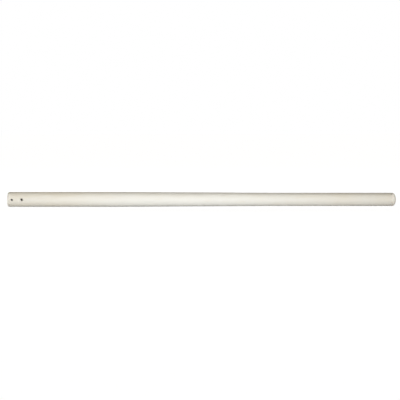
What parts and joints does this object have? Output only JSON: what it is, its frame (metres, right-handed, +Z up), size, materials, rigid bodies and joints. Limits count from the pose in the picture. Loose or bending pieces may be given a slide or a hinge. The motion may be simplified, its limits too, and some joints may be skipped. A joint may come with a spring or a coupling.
{
  "type": "white cane",
  "caption": "Rigid white support cane: a round shaft that narrows towards its foot, drilled across at the handle end for a pin and a wrist strap, with a domed tip.",
  "frame": {"origin": "under the middle of the cane, on the surface that it lies on", "axes": "+X along the cane from the handle end to the tip, +Z up, and both cross-holes run along Y"},
  "size_m": [0.914, 0.0352, 0.0351],
  "materials": {
    "white_film": "satin white covering",
    "glass_fibre": "bare glass-fibre composite",
    "white_nylon": "satin moulded nylon",
    "bush_nylon": "moulded nylon, dulled by use",
    "tip_nylon": "satin nylon, lightly worn",
    "gasket_rubber": "pale rubber",
    "natural_nylon": "natural nylon",
    "spring_steel": "dark rolled spring steel",
    "zinc_steel": "zinc-plated steel",
    "insert_brass": "turned brass"
  },
  "bodies": {
    "root": {"white_sleeve": "white_film", "shaft_tube": "glass_fibre", "handle_plug": "white_nylon", "plug_pin": "spring_steel", "strap_bush": "bush_nylon", "glide_tip": "tip_nylon", "tip_gasket": "gasket_rubber", "tip_plug": "natural_nylon", "tip_stud": "zinc_steel", "tip_insert": "insert_brass", "stud_washer": "zinc_steel", "stud_nut": "zinc_steel"}
  },
  "joints": []
}
